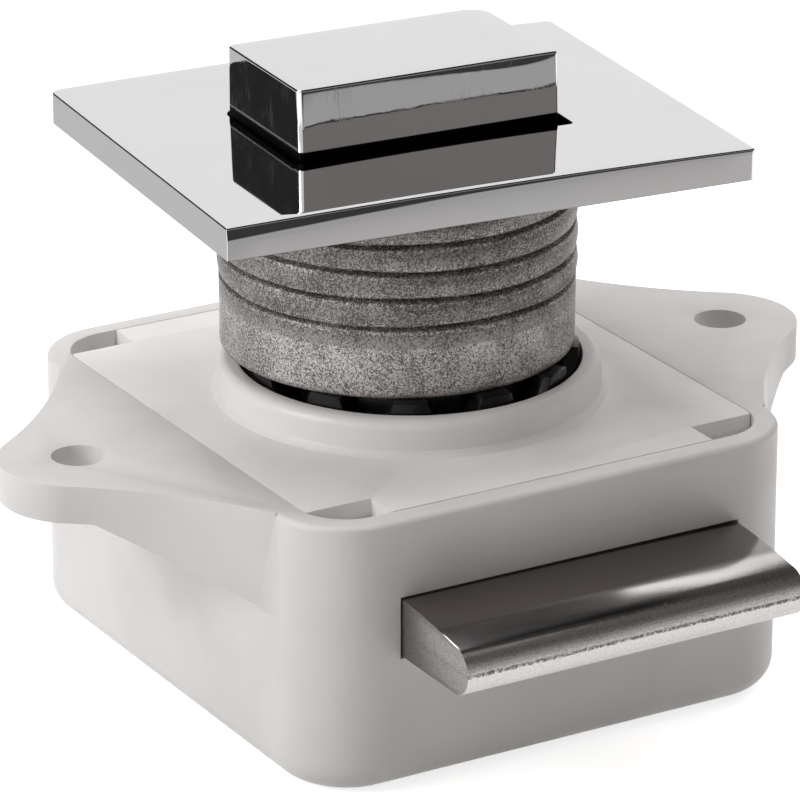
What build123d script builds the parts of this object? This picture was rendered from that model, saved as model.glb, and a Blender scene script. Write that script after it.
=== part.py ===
from build123d import *
import os
from math import asin, cos, degrees, radians, sin, sqrt

os.makedirs("parts", exist_ok=True)

# A pushbutton rim latch: a white moulded case that is screwed behind a door by two ears,
# a sprung bolt across its front, and a push knob that comes through a plated rosette.
# The origin is midway between the two ear screws, on the face that lies against the door.
# +Z points out of the door along the knob, and the bolt points to -Y.

# General clearances
slip = 0.10
free_gap = 0.30
seat_gap = 0.05

# Case
case_width = 43.4
case_height = 21.8
backset = 25.3
rear_reach = 22.3
axis_y = 1.9
wall = 1.85
floor = 1.8
corner_radius = 6.0
bottom_radius = 2.4
top_radius = 0.5
front_y = axis_y - backset
rear_y = axis_y + rear_reach
case_depth = backset + rear_reach
mid_y = (front_y + rear_y) / 2
inner_front = front_y + wall
inner_rear = rear_y - wall
inner_half = case_width / 2 - wall
floor_z = -case_height + floor

# Ears
ear_spacing = 58.0
ear_thickness = 3.0
ear_tip_radius = 6.2
ear_hole = 4.2
ear_root_y = 17.4
ear_sweep_x = 25.2
ear_sweep_y = 12.2
ear_end_angle = 57.0
ear_root_depth = 1.0
web_start_x = 31.0
web_drop = 5.2
web_wall = 1.9

# Cover and its collar
cover_thickness = 1.4
cover_gap = 0.10
notch_x = 5.6
notch_y = 3.0
collar_inner = 13.5
collar_outer = 15.0
collar_base = 15.5
collar_height = 2.8
collar_lip_radius = 0.8
ledge_x = 7.2
ledge_y = 3.7
ledge_height = 3.1
hook_width = 3.2
hook_thickness = 1.2
hook_nib = 0.75
hook_nib_height = 0.9
cover_rail_width = 1.3

# Rosette, turned a little as it lies in the collar
rosette_turn = -5.6
plate_x = 43.6
plate_y = 35.5
plate_z = 21.33
plate_edge = 2.47
plate_crown = 0.25
front_left_corner = 0.3
front_right_corner = 0.4
rear_right_corner = 0.6
rear_left_corner = 1.0
knob_hole_x = 23.4
knob_hole_y = 14.2
sleeve_foot_z = 3.62
sleeve_outer = 14.3
sleeve_band = 14.45
sleeve_inner = 13.15
groove_first_z = 9.25
groove_pitch = 2.2
groove_count = 5
groove_depth = 0.5
groove_half = 0.36

# Knob and its stem
knob_turn = -3.8
knob_x = 22.0
knob_y = 12.74
knob_top_z = 27.07
knob_skirt_z = 15.6
knob_wall = 1.6
knob_off_x = -0.38
knob_off_y = 0.16
knob_front_radius = 0.8
knob_left_rear_radius = 0.6
knob_right_rear_radius = 1.8
knob_edge = 0.18
stem_radius = 3.0
stem_foot_z = 1.4
stem_neck = 0.65
stem_grooves_below = 2
stem_grooves_above = 1

# Travel
stroke = 6.0
bolt_travel = 9.0

# Guide ring
ring_flange_radius = 15.4
ring_flange = 1.4
ring_floor = 2.0
ring_outer = 13.35
ring_land_z = 1.2
tooth_count = 12
tooth_inner = 11.4
tooth_outer = 13.2
tooth_angle = 19.0
tooth_lean = 4.0
spigot_inner = 9.7
spigot_top_z = 6.2

# Plunger
shank = 11.0
shank_chamfer = 0.4
neck = 9.6
neck_clearance = 0.15
plunger_foot_z = -13.6
plunger_top_z = 11.5
spring_bore = 3.5
spring_roof_z = -5.0
socket_foot_z = 0.6
shoulder_z = -cover_thickness - ring_flange - seat_gap

# Heart-shaped track and its follower wire
wire_radius = 0.45
track_slack = 0.20
track_depth = 1.0
lane_offset = 1.45
pivot_z = -18.4
wire_length = 8.52
wire_bend = 0.7
wire_leg = 3.2
tip_bite = 0.8

# Latch bolt
bolt_mid_x = 0.46
bolt_width = 29.64
bolt_top = -6.25
bolt_bottom = -10.95
bolt_fall = 0.85
bolt_reach = 9.45
bolt_nose_radius = 1.95
bolt_crown = 0.12
slot_gap = 0.13
stop_gap = 0.55
tail_top = -5.3
tail_bottom = -11.9
block_depth = 6.85
fork_inner = 6.3
channel_width = 4.6
channel_floor = 1.0
channel_reach = 3.9

# Springs
bolt_spring_radius = 2.0
bolt_spring_wire = 0.28
bolt_spring_turns = 9
bolt_spring_inset = 4.52
peg_radius = 1.2
peg_length = 3.0
return_spring_radius = 3.1
return_spring_wire = 0.38
return_spring_turns = 7
return_peg_radius = 2.1
return_peg_height = 2.5

# Follower post and leaf
post_half = 3.0
post_depth = 3.6
post_top_z = -12.4
leaf_thickness = 0.3
leaf_half = 2.5
leaf_top_z = -8.6
leaf_foot_z = -16.2
rail_width = 1.6
rail_gap = 0.12

# Wire clip through the plunger
clip_radius = 0.4
clip_z = 8.0
clip_reach = 5.6

# Places worked out from the sizes above
shank_rear_y = axis_y + shank / 2
wire_y = shank_rear_y + free_gap + wire_radius + seat_gap
leaf_y = wire_y + wire_radius + seat_gap
tip_z = pivot_z + sqrt(wire_length**2 - lane_offset**2)
swing = 2 * degrees(asin(lane_offset / wire_length))
post_rear_y = leaf_y + leaf_thickness + post_depth
clip_x = stem_radius - stem_neck + clip_radius
bolt_nose_y = front_y - bolt_reach
block_rear_y = inner_front + slip + block_depth
channel_front_y = axis_y - channel_reach
spigot_outer = sleeve_inner - axis_y - free_gap
fork_rear_y = inner_rear - bolt_travel - stop_gap
spring_z = (tail_top + tail_bottom) / 2
bolt_spring_x = bolt_width / 2 - bolt_spring_inset

print("follower swing", round(swing, 2), "degrees, tip height", round(tip_z, 3))


knob_axis = Axis((0, axis_y, 0), (0, 0, 1))
knob_side = Plane((0, axis_y, 0), x_dir=(1, 0, 0), z_dir=(0, -1, 0))


def knob_level(height, angle=0):
    """A drawing plane square to the knob axis at one height, turned about that axis."""
    return Plane((0, axis_y, height), x_dir=(cos(radians(angle)), sin(radians(angle)), 0))


def along_bolt(y):
    """A drawing plane square to the bolt's travel, seen from the bolt's nose."""
    return Plane((0, y, 0), x_dir=(1, 0, 0), z_dir=(0, -1, 0))


# Outline of both ears: a round tip about each screw and a hollow sweep into the case's side.
tip_x = ear_spacing / 2 + ear_tip_radius * cos(radians(ear_end_angle))
tip_y = ear_tip_radius * sin(radians(ear_end_angle))
side_x = case_width / 2
root_x = side_x - ear_root_depth
with BuildSketch() as ear_outline:
    with BuildLine():
        ThreePointArc((side_x, ear_root_y), (ear_sweep_x, ear_sweep_y), (tip_x, tip_y))
        ThreePointArc((tip_x, tip_y), (ear_spacing / 2 + ear_tip_radius, 0), (tip_x, -tip_y))
        ThreePointArc((tip_x, -tip_y), (ear_sweep_x, -ear_sweep_y), (side_x, -ear_root_y))
        Polyline((side_x, -ear_root_y), (root_x, -ear_root_y), (root_x, ear_root_y), (side_x, ear_root_y))
    make_face()
    mirror(about=Plane.YZ)

# Side view of the ears: an even thickness at the tip, deeper towards the case.
web_foot = -ear_thickness - web_drop
with BuildPart() as ear_wedge:
    with BuildSketch(along_bolt(case_depth)):
        with BuildLine():
            Polyline((0, 0), (case_width, 0), (case_width, -ear_thickness), (web_start_x, -ear_thickness),
                     (side_x, web_foot), (0, web_foot), (0, 0))
        make_face()
        mirror(about=Plane.YZ)
    extrude(amount=2 * case_depth)

with BuildPart() as ears:
    add(ear_outline.sketch)
    extrude(amount=web_foot)
    add(ear_wedge.part, mode=Mode.INTERSECT)

# The ears are hollow underneath, between two walls that run along their edges.
with BuildPart() as ear_hollows:
    with BuildSketch(Plane.XY.offset(-ear_thickness)):
        add(ear_outline.sketch)
        offset(amount=-web_wall, mode=Mode.REPLACE)
        Rectangle(case_width, case_depth, mode=Mode.SUBTRACT)
    extrude(amount=-web_drop)

# Case: rounded tub, open at the top, with the two ears and everything the mechanism stands on.
with BuildPart() as case:
    with BuildSketch():
        with Locations((0, mid_y)):
            RectangleRounded(case_width, case_depth, corner_radius)
    extrude(amount=-case_height)
    fillet(case.faces().sort_by(Axis.Z)[0].edges(), bottom_radius)
    fillet(case.faces().sort_by(Axis.Z)[-1].edges(), top_radius)
    add(ears.part)
    add(ear_hollows.part, mode=Mode.SUBTRACT)
    with BuildSketch():
        with Locations((0, mid_y)):
            RectangleRounded(2 * inner_half, case_depth - 2 * wall, corner_radius - wall)
    extrude(amount=floor_z, mode=Mode.SUBTRACT)
    with Locations((ear_spacing / 2, 0), (-ear_spacing / 2, 0)):
        Hole(ear_hole / 2)
    # slot for the bolt
    with BuildSketch(along_bolt(inner_front + slip)):
        with Locations((bolt_mid_x, (bolt_top + bolt_bottom) / 2)):
            Rectangle(bolt_width + 2 * slot_gap, bolt_top - bolt_bottom + 2 * slot_gap)
    extrude(amount=2 * wall, mode=Mode.SUBTRACT)
    # corner ledges that the cover rests on
    with BuildSketch(Plane.XY.offset(-cover_thickness)):
        with Locations((0, mid_y)):
            with GridLocations(2 * inner_half, case_depth - 2 * wall, 2, 2):
                Rectangle(2 * ledge_x, 2 * ledge_y)
            RectangleRounded(case_width - wall, case_depth - wall, corner_radius - wall / 2, mode=Mode.INTERSECT)
    extrude(amount=-ledge_height)
    # rails under the two arms of the bolt
    with BuildSketch(Plane.XY.offset(floor_z)):
        with Locations((bolt_mid_x, (block_rear_y + inner_rear) / 2)):
            with GridLocations(2 * bolt_spring_x, 0, 2, 1):
                Rectangle(rail_width, inner_rear - block_rear_y)
    extrude(amount=tail_bottom - rail_gap - floor_z)
    # pegs that hold the springs
    with BuildSketch(along_bolt(inner_rear)):
        with Locations((bolt_mid_x + bolt_spring_x, spring_z), (bolt_mid_x - bolt_spring_x, spring_z)):
            Circle(peg_radius)
    extrude(amount=peg_length)
    with BuildSketch(knob_level(floor_z)):
        Circle(return_peg_radius)
    extrude(amount=return_peg_height)
    # post that carries the follower wire and backs its leaf
    with BuildSketch(Plane.XY.offset(floor_z)):
        with Locations((0, (leaf_y + leaf_thickness + post_rear_y) / 2)):
            Rectangle(2 * post_half, post_rear_y - leaf_y - leaf_thickness)
    extrude(amount=post_top_z - floor_z)
    with BuildSketch(Plane.XY.offset(floor_z)):
        with Locations((0, leaf_y + leaf_thickness / 2)):
            Rectangle(2 * post_half, leaf_thickness)
    extrude(amount=leaf_foot_z - floor_z)
    with BuildSketch(along_bolt(leaf_y + wire_leg)):
        with Locations((0, pivot_z)):
            Circle(wire_radius + seat_gap)
    extrude(amount=wire_leg + slip, mode=Mode.SUBTRACT)
case.part.label = "case"
export_step(case.part, "parts/case.step")

# Cover: plate flush in the case's mouth, notched at its four corners for the snap hooks,
# with a round collar raised midway between the ears and two rails over the arms of the bolt.
cover_x = 2 * (inner_half - cover_gap)
cover_y = case_depth - 2 * wall - 2 * cover_gap
hook_x = inner_half - free_gap - hook_width / 2
hook_y = case_depth / 2 - wall - ledge_y - slip - hook_thickness / 2
with BuildPart() as cover:
    with BuildSketch(Plane.XY.offset(-cover_thickness)):
        with Locations((0, mid_y)):
            RectangleRounded(cover_x, cover_y, corner_radius - wall - cover_gap)
            with GridLocations(cover_x, cover_y, 2, 2):
                Rectangle(2 * notch_x, 2 * notch_y, mode=Mode.SUBTRACT)
    extrude(amount=cover_thickness)
    with BuildSketch(along_bolt(0)):
        with BuildLine():
            Polyline((0, -cover_thickness / 2), (collar_base, -cover_thickness / 2), (collar_base, 0),
                     (collar_outer, collar_base - collar_outer), (collar_outer, collar_height),
                     (0, collar_height), (0, -cover_thickness / 2))
        make_face()
    revolve(axis=Axis.Z)
    fillet(cover.faces().sort_by(Axis.Z)[-1].edges(), collar_lip_radius)
    with BuildSketch(Plane.XY.offset(collar_height)):
        Circle(collar_inner)
    extrude(amount=-collar_height - cover_thickness, mode=Mode.SUBTRACT)
    with BuildSketch(Plane.XY.offset(-cover_thickness)):
        with Locations((0, mid_y)):
            with GridLocations(2 * hook_x, 2 * hook_y, 2, 2):
                Rectangle(hook_width, hook_thickness)
    extrude(amount=-ledge_height - slip - hook_nib_height)
    with BuildSketch(Plane.XY.offset(-cover_thickness - ledge_height - slip)):
        with Locations((0, mid_y)):
            with GridLocations(2 * hook_x, 2 * hook_y + hook_nib, 2, 2):
                Rectangle(hook_width, hook_thickness + hook_nib)
    extrude(amount=-hook_nib_height)
    with BuildSketch(Plane.XY.offset(-cover_thickness)):
        with Locations((bolt_mid_x, (fork_rear_y + block_rear_y) / 2)):
            with GridLocations(bolt_width - cover_rail_width - 2 * slip, 0, 2, 1):
                Rectangle(cover_rail_width, fork_rear_y - block_rear_y)
        Circle(ring_flange_radius + free_gap, mode=Mode.SUBTRACT)
    extrude(amount=tail_top + rail_gap + cover_thickness)
cover.part.label = "cover"
export_step(cover.part, "parts/cover.step")

# Guide ring: black ring pushed up into the collar from below, held by its flange.
# Its teeth carry the foot of the rosette's sleeve, and its spigot keeps that sleeve from sliding off.
ring_top = -cover_thickness
ring_foot = ring_top - ring_flange
tooth_half = radians(tooth_angle / 2)
tooth_top_half = radians(tooth_angle / 2 - tooth_lean)
with BuildPart() as tooth_bar:
    with BuildSketch(Plane.YZ):
        with BuildLine():
            Polyline((-ring_outer * tooth_half, 0), (ring_outer * tooth_half, 0),
                     (ring_outer * tooth_half, ring_land_z), (ring_outer * tooth_top_half, sleeve_foot_z),
                     (-ring_outer * tooth_top_half, sleeve_foot_z), (-ring_outer * tooth_half, ring_land_z),
                     (-ring_outer * tooth_half, 0))
        make_face()
    extrude(amount=ring_outer)

with BuildPart() as tooth_band:
    with BuildSketch():
        Circle(tooth_outer)
        Circle(tooth_inner, mode=Mode.SUBTRACT)
    extrude(amount=sleeve_foot_z)

with BuildPart() as teeth:
    with PolarLocations(0, tooth_count):
        add(tooth_bar.part)
    add(tooth_band.part, mode=Mode.INTERSECT)

with BuildPart() as guide_ring:
    with BuildSketch(along_bolt(0)):
        with BuildLine():
            Polyline((0, ring_foot), (ring_flange_radius, ring_foot), (ring_flange_radius, ring_top),
                     (ring_outer, ring_top), (ring_outer, ring_land_z), (spigot_outer, ring_land_z),
                     (spigot_outer, spigot_top_z), (spigot_inner, spigot_top_z),
                     (spigot_inner, ring_foot + ring_floor), (0, ring_foot + ring_floor), (0, ring_foot))
        make_face()
    revolve(axis=Axis.Z)
    add(teeth.part)
    with BuildSketch(knob_level(ring_foot)):
        Rectangle(neck + 2 * neck_clearance, neck + 2 * neck_clearance)
    extrude(amount=ring_floor, mode=Mode.SUBTRACT)
guide_ring.part.label = "guide_ring"
export_step(guide_ring.part, "parts/guide_ring.step")

# Rosette: one casting, a thin plate with a faintly domed face on a grooved sleeve.
plate_foot = plate_z - plate_edge
crown_radius = (plate_x / 2) ** 2 / (2 * plate_crown)
with BuildPart() as plate:
    with BuildSketch(knob_level(plate_foot, rosette_turn)) as plate_plan:
        Rectangle(plate_x, plate_y)
        front_left, front_right = plate_plan.vertices().sort_by(Axis.Y)[:2].sort_by(Axis.X)
        rear_left, rear_right = plate_plan.vertices().sort_by(Axis.Y)[2:].sort_by(Axis.X)
        fillet(front_left, front_left_corner)
        fillet(front_right, front_right_corner)
        fillet(rear_right, rear_right_corner)
        fillet(rear_left, rear_left_corner)
    extrude(amount=plate_edge + plate_crown)

with BuildPart() as plate_dome:
    with BuildSketch(Plane((0, axis_y, 0), x_dir=(cos(radians(rosette_turn)), sin(radians(rosette_turn)), 0),
                           z_dir=(sin(radians(rosette_turn)), -cos(radians(rosette_turn)), 0)).offset(-plate_y)):
        with Locations((0, plate_z + plate_crown - crown_radius)):
            Circle(crown_radius)
    extrude(amount=2 * plate_y)

with BuildPart() as sleeve:
    with BuildSketch(knob_side):
        with BuildLine():
            Polyline((sleeve_inner, sleeve_foot_z), (sleeve_outer, sleeve_foot_z),
                     (sleeve_band, groove_first_z - groove_half), (sleeve_band, plate_foot + slip),
                     (sleeve_inner, plate_foot + slip), (sleeve_inner, sleeve_foot_z))
        make_face()
        for groove in range(groove_count):
            middle = groove_first_z + groove * groove_pitch
            with BuildLine():
                Polyline((sleeve_band + slip, middle - groove_half), (sleeve_band - groove_depth, middle),
                         (sleeve_band + slip, middle + groove_half), (sleeve_band + slip, middle - groove_half))
            make_face(mode=Mode.SUBTRACT)
    revolve(axis=knob_axis)

with BuildPart() as rosette:
    add(plate.part)
    add(plate_dome.part, mode=Mode.INTERSECT)
    add(sleeve.part)
    with BuildSketch(knob_level(plate_z + plate_crown, rosette_turn)):
        Rectangle(knob_hole_x, knob_hole_y)
    extrude(amount=-plate_crown - plate_edge - slip, mode=Mode.SUBTRACT)
rosette.part.label = "rosette"
export_step(rosette.part, "parts/rosette.step")

# Knob: polished block with a hollow skirt and a round grooved stem, which lets it turn with the rosette.
turn = radians(rosette_turn)
knob_at_x = knob_off_x * cos(turn) - knob_off_y * sin(turn)
knob_at_y = knob_off_x * sin(turn) + knob_off_y * cos(turn)
with BuildPart() as knob:
    with BuildSketch(knob_level(knob_skirt_z, knob_turn)) as knob_plan:
        with Locations((knob_at_x, knob_at_y)):
            Rectangle(knob_x, knob_y)
        fillet(knob_plan.vertices().sort_by(Axis.Y)[:2], knob_front_radius)
        knob_rear_left, knob_rear_right = knob_plan.vertices().sort_by(Axis.Y)[-2:].sort_by(Axis.X)
        fillet(knob_rear_left, knob_left_rear_radius)
        fillet(knob_rear_right, knob_right_rear_radius)
    extrude(amount=knob_top_z - knob_skirt_z)
    chamfer(knob.faces().sort_by(Axis.Z)[-1].edges(), knob_edge)
    with BuildSketch(knob_level(knob_skirt_z, knob_turn)):
        with Locations((knob_at_x, knob_at_y)):
            Rectangle(knob_x - 2 * knob_wall, knob_y - 2 * knob_wall)
    extrude(amount=knob_top_z - knob_skirt_z - knob_wall, mode=Mode.SUBTRACT)
    with BuildSketch(knob_side):
        with BuildLine():
            Polyline((0, stem_foot_z), (stem_radius, stem_foot_z), (stem_radius, knob_top_z - knob_wall),
                     (0, knob_top_z - knob_wall), (0, stem_foot_z))
        make_face()
        for groove in range(-stem_grooves_below, stem_grooves_above + 1):
            middle = clip_z + groove * groove_pitch
            with Locations((stem_radius, middle)):
                Rectangle(2 * stem_neck, 2 * clip_radius + slip, mode=Mode.SUBTRACT)
    revolve(axis=knob_axis)
knob.part.label = "knob"
export_step(knob.part, "parts/knob.step")

# Plunger: black square spindle under the knob, with a wide foot, a socket for the stem
# and a heart-shaped track in its rear face.
track_half = lane_offset + wire_radius + track_slack
track_foot = tip_z - wire_radius - track_slack
track_head = pivot_z + wire_length + stroke + wire_radius + track_slack
island_half = lane_offset - wire_radius - track_slack
island_foot = pivot_z + wire_length + wire_radius + track_slack
island_head = tip_z + stroke - wire_radius - track_slack
with BuildPart() as plunger:
    with BuildSketch(knob_level(plunger_foot_z)):
        Rectangle(shank, shank)
    extrude(amount=shoulder_z - plunger_foot_z)
    chamfer(plunger.edges().filter_by(Axis.Z), shank_chamfer)
    with BuildSketch(knob_level(shoulder_z)):
        Rectangle(neck, neck)
    extrude(amount=plunger_top_z - shoulder_z)
    with BuildSketch(knob_level(plunger_foot_z)):
        Circle(spring_bore)
    extrude(amount=spring_roof_z - plunger_foot_z, mode=Mode.SUBTRACT)
    with BuildSketch(knob_level(plunger_top_z)):
        Circle(stem_radius + seat_gap)
    extrude(amount=socket_foot_z - plunger_top_z, mode=Mode.SUBTRACT)
    with BuildSketch(along_bolt(axis_y + neck)):
        with Locations((clip_x, clip_z), (-clip_x, clip_z)):
            Circle(clip_radius + seat_gap)
    extrude(amount=2 * neck, mode=Mode.SUBTRACT)
    with BuildSketch(along_bolt(shank_rear_y)):
        with BuildLine():
            Polyline((-track_half, track_foot), (track_half, track_foot), (track_half, track_head),
                     (-track_half, track_head), (-track_half, track_foot))
        make_face()
        with BuildLine():
            Polyline((0, island_foot), (island_half, island_foot + island_half), (island_half, island_head),
                     (0, island_head - island_half), (-island_half, island_head),
                     (-island_half, island_foot + island_half), (0, island_foot))
        make_face(mode=Mode.SUBTRACT)
    extrude(amount=track_depth, mode=Mode.SUBTRACT)
plunger.part.label = "plunger"
export_step(plunger.part, "parts/plunger.step")

# Stem clip: spring wire pushed through the plunger, its two legs lying in a groove of the stem.
with BuildPart() as stem_clip:
    with BuildLine() as clip_path:
        FilletPolyline((clip_x, axis_y + clip_reach, clip_z), (clip_x, axis_y - clip_reach, clip_z),
                       (-clip_x, axis_y - clip_reach, clip_z), (-clip_x, axis_y + clip_reach, clip_z),
                       radius=2 * clip_radius)
    with BuildSketch(Plane((clip_x, axis_y + clip_reach, clip_z), z_dir=(0, -1, 0))):
        Circle(clip_radius)
    sweep()
stem_clip.part.label = "stem_clip"
export_step(stem_clip.part, "parts/stem_clip.step")


def coil(plane, length, radius, wire, turns):
    """A compression spring along a plane's normal, with both ends ground flat."""
    pitch = length / turns
    with BuildPart() as spring:
        with BuildLine():
            turn_line = Helix(pitch=pitch, height=length, radius=radius)
        with BuildSketch(Plane(origin=turn_line @ 0, z_dir=turn_line % 0)):
            RegularPolygon(wire, 6)
        sweep(is_frenet=True)
        with BuildSketch():
            Circle(radius + 2 * wire)
        extrude(amount=length, mode=Mode.INTERSECT)
    return plane.location * spring.part


# Springs: one under the plunger, and one behind each arm of the bolt.
return_length = spring_roof_z - floor_z - 2 * seat_gap
return_coil = coil(knob_level(floor_z + seat_gap), return_length, return_spring_radius - return_spring_wire,
                   return_spring_wire, return_spring_turns)
with BuildPart() as return_spring:
    add(return_coil)
return_spring.part.label = "return_spring"
export_step(return_spring.part, "parts/return_spring.step")

bolt_spring_length = inner_rear - channel_front_y - 2 * seat_gap
for side, side_name in ((-1, "left"), (1, "right")):
    spring_start = Plane((bolt_mid_x + side * bolt_spring_x, inner_rear - seat_gap, spring_z), z_dir=(0, -1, 0))
    bolt_coil = coil(spring_start, bolt_spring_length, bolt_spring_radius - bolt_spring_wire,
                     bolt_spring_wire, bolt_spring_turns)
    with BuildPart() as bolt_spring:
        add(bolt_coil)
    bolt_spring.part.label = "bolt_spring_" + side_name
    export_step(bolt_spring.part, "parts/bolt_spring_" + side_name + ".step")

# Latch bolt: rounded nose outside, a deeper block inside that stops it, and two channelled arms.
nose_z = bolt_bottom + bolt_nose_radius
fall_z = bolt_top - bolt_fall
nose_back = bolt_nose_y + bolt_nose_radius
fall_y = (front_y + nose_back) / 2
fall_middle_z = (bolt_top + fall_z) / 2 + bolt_crown
with BuildPart() as latch_bolt:
    with BuildSketch(Plane((bolt_mid_x, 0, 0), x_dir=(0, 1, 0), z_dir=(1, 0, 0))):
        with BuildLine():
            Polyline((nose_back, bolt_bottom), (block_rear_y, bolt_bottom), (block_rear_y, bolt_top),
                     (front_y, bolt_top))
            ThreePointArc((front_y, bolt_top), (fall_y, fall_middle_z), (nose_back, fall_z))
            ThreePointArc((nose_back, fall_z), (bolt_nose_y, nose_z), (nose_back, bolt_bottom))
        make_face()
    extrude(amount=bolt_width / 2, both=True)
    with BuildSketch(along_bolt(block_rear_y)):
        with Locations((bolt_mid_x, spring_z)):
            Rectangle(bolt_width, tail_top - tail_bottom)
    extrude(amount=block_rear_y - inner_front - slip)
    with BuildSketch(along_bolt(fork_rear_y)):
        with Locations((bolt_mid_x, spring_z)):
            Rectangle(bolt_width, tail_top - tail_bottom)
            Rectangle(2 * fork_inner, tail_top - tail_bottom, mode=Mode.SUBTRACT)
    extrude(amount=fork_rear_y - block_rear_y)
    with BuildSketch(along_bolt(fork_rear_y)):
        with Locations((bolt_mid_x, (tail_top + tail_bottom + channel_floor) / 2)):
            with GridLocations(2 * bolt_spring_x, 0, 2, 1):
                Rectangle(channel_width, tail_top - tail_bottom - channel_floor)
    extrude(amount=fork_rear_y - channel_front_y, mode=Mode.SUBTRACT)
latch_bolt.part.label = "latch_bolt"
export_step(latch_bolt.part, "parts/latch_bolt.step")

# Follower: bent wire that hinges in the post, its upper end riding in the track.
with BuildPart() as cam_wire:
    with BuildLine():
        FilletPolyline((-lane_offset, shank_rear_y - tip_bite, tip_z), (-lane_offset, wire_y, tip_z),
                       (0, wire_y, pivot_z), (0, wire_y + wire_leg, pivot_z), radius=wire_bend)
    with BuildSketch(Plane((-lane_offset, shank_rear_y - tip_bite, tip_z), z_dir=(0, 1, 0))):
        Circle(wire_radius)
    sweep()
cam_wire.part.label = "cam_wire"
export_step(cam_wire.part, "parts/cam_wire.step")

# Leaf: flat spring on the post that keeps the follower's tip in the track.
with BuildPart() as cam_leaf:
    with BuildSketch(along_bolt(leaf_y + leaf_thickness)):
        with Locations((0, (leaf_top_z + leaf_foot_z) / 2)):
            Rectangle(2 * leaf_half, leaf_top_z - leaf_foot_z)
    extrude(amount=leaf_thickness)
cam_leaf.part.label = "cam_leaf"
export_step(cam_leaf.part, "parts/cam_leaf.step")
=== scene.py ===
# %% [markdown]
# # A push button rim latch, dressed for its portrait
# The CAD model already holds every real piece of the latch at its real size. Blender's part is the
# look: plastic that has a moulding's softness, plating that mirrors the studio, and castings with
# grain. This lesson goes from the camera through the finishes and the pieces to the stage.

# %% Start: the frame that everything is built around
import math

import bmesh
import bpy
import numpy as np
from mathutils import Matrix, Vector


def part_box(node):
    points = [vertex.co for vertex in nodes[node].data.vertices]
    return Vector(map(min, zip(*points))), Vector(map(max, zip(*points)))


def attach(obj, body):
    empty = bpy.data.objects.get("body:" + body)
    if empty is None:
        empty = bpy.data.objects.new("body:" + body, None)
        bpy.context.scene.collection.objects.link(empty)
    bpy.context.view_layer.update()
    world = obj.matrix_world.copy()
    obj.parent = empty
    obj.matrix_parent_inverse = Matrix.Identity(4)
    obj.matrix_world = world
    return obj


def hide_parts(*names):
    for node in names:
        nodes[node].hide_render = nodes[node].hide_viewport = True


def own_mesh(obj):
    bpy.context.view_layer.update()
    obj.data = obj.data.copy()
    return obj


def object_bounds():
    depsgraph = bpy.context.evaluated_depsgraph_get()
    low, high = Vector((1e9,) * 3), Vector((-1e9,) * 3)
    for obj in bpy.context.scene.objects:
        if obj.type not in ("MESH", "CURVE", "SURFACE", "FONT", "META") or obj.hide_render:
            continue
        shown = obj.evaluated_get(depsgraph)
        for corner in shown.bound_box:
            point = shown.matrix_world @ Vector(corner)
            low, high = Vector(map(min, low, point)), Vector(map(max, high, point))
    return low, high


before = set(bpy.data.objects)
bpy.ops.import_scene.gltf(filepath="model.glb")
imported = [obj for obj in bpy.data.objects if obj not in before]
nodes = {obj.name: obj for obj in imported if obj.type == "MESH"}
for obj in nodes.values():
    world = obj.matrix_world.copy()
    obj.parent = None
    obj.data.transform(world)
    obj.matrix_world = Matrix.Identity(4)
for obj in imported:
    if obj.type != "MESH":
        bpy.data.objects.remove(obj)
cad_box = [list(corner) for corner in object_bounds()]
MM = 0.001
print("nodes:", sorted(nodes))
print("the model spans", [[round(x / MM, 2) for x in corner] for corner in cad_box], "mm")

# %% [markdown]
# ## The camera
# Product pictures are often taken from far away with a long lens, so that parallel edges stay nearly
# parallel. The angle of this one was found by matching measured corners of the latch. A camera can
# be turned with three angles, but here it is simpler to say where it stands, as an azimuth, an
# elevation and a distance from the point that it looks at, and to let Blender aim it.

# %% Camera
CAMERA_AZIMUTH = -30.27
CAMERA_ELEVATION = 21.51
CAMERA_DISTANCE = 433.71 * MM
CAMERA_TARGET = Vector((-0.16, 2.41, -2.01)) * MM
PHOTO_WIDTH = 800
FOCAL_PIXELS = 5522.3
CENTRE_U = 392.06
CENTRE_V = 399.61
SENSOR_WIDTH = 36


def direction(azimuth, elevation):
    """The way out from the latch at two angles in degrees: (sin a cos e, -cos a cos e, sin e), so that
    azimuth 0 is the front and 90 the right."""
    a, e = math.radians(azimuth), math.radians(elevation)
    return Vector((math.sin(a) * math.cos(e), -math.cos(a) * math.cos(e), math.sin(e)))


towards_camera = direction(CAMERA_AZIMUTH, CAMERA_ELEVATION)
camera_data = bpy.data.cameras.new("camera")
camera_data.sensor_width = SENSOR_WIDTH
camera_data.lens = FOCAL_PIXELS / PHOTO_WIDTH * camera_data.sensor_width
camera_data.shift_x = (PHOTO_WIDTH / 2 - CENTRE_U) / PHOTO_WIDTH
camera_data.shift_y = (CENTRE_V - PHOTO_WIDTH / 2) / PHOTO_WIDTH
camera_data.clip_start = 10 * MM
camera = bpy.data.objects.new("camera", camera_data)
camera.location = CAMERA_TARGET + towards_camera * CAMERA_DISTANCE
camera.rotation_mode = "QUATERNION"
camera.rotation_quaternion = (-towards_camera).to_track_quat("-Z", "Y")
bpy.context.scene.collection.objects.link(camera)
bpy.context.scene.camera = camera
bpy.context.scene.view_settings.view_transform = "Standard"
print("lens", round(camera_data.lens, 1), "mm")

# %% [markdown]
# ## Surfaces from arrays
# Every new piece in this lesson is a grid of points: rows run along a profile or a path, columns run
# round the piece and wrap round on themselves. numpy works out the whole grid at once, and one
# function turns any such grid into a mesh. Normals are recalculated at the end, so that it doesn't
# matter which way round a profile was written.

# %% Mesh from a grid of points
SAME_POINT = 1e-7


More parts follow.
